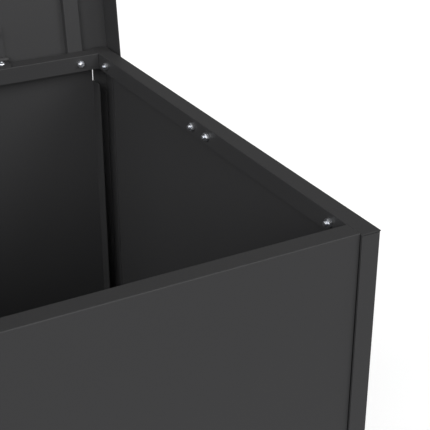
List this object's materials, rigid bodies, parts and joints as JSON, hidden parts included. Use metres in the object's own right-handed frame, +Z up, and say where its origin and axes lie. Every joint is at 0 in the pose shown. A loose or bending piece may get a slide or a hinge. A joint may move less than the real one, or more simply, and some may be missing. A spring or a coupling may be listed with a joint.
{
  "type": "parcel drop box",
  "caption": "Floor-standing folded-steel parcel box with an open folded rim, corner posts and a hinged telescoping lid that leans back on rubber stops and locks with a turning cam.",
  "frame": {"origin": "on the ground, midway between the four anchor holes of the floor", "axes": "+X to the right seen from the front, +Y to the rear, +Z up"},
  "size_m": [0.9104, 0.6607, 1.1996],
  "materials": {
    "powder_coat": "matte anthracite powder coat on folded sheet steel",
    "zinc_steel": "bright zinc-plated steel",
    "lock_chrome": "satin chrome on zinc die casting",
    "rubber": "black moulded rubber",
    "foot_plastic": "black moulded plastic"
  },
  "bodies": {
    "box": {"base_bolts": "zinc_steel", "base_nuts": "zinc_steel", "corner_post_front_left": "powder_coat", "corner_post_front_right": "powder_coat", "corner_post_rear_left": "powder_coat", "corner_post_rear_right": "powder_coat", "feet": "foot_plastic", "floor_pan": "powder_coat", "floor_ribs": "powder_coat", "foot_plates": "powder_coat", "front_panel": "powder_coat", "guard_nuts": "zinc_steel", "guard_studs": "zinc_steel", "hinge_fixed_leaf_left": "powder_coat", "hinge_fixed_leaf_right": "powder_coat", "hinge_pin_left": "powder_coat", "hinge_pin_right": "powder_coat", "hinge_screw_nuts": "zinc_steel", "hinge_screws": "zinc_steel", "lock_barrel": "lock_chrome", "lock_guard": "powder_coat", "lock_nut": "lock_chrome", "post_head_brackets": "powder_coat", "rear_panel": "powder_coat", "rear_stops": "rubber", "rim_braces": "powder_coat", "rim_nuts": "zinc_steel", "rim_studs": "zinc_steel", "side_panel_left": "powder_coat", "side_panel_right": "powder_coat"},
    "lid": {"hinge_lid_leaf_left": "powder_coat", "hinge_lid_leaf_right": "powder_coat", "lid_buffers": "rubber", "lid_hook": "powder_coat", "lid_nuts": "zinc_steel", "lid_shell": "powder_coat", "lid_stiffener_1": "powder_coat", "lid_stiffener_2": "powder_coat", "lid_stiffener_3": "powder_coat", "lid_stiffener_4": "powder_coat", "lid_studs": "zinc_steel"},
    "lock_cylinder": {"lock_plug": "lock_chrome", "lock_cam": "zinc_steel", "cam_screw": "zinc_steel"}
  },
  "joints": [
    {"name": "lid_hinge", "type": "hinge", "parent": "box", "child": "lid", "pos_m": [0, 0.2955, 0.6035], "axis": [1, 0, 0], "range_deg": [0, 96]},
    {"name": "lock_turn", "type": "hinge", "parent": "box", "child": "lock_cylinder", "pos_m": [0, -0.279, 0.546], "axis": [0, 1, 0], "range_deg": [0, 90]}
  ]
}
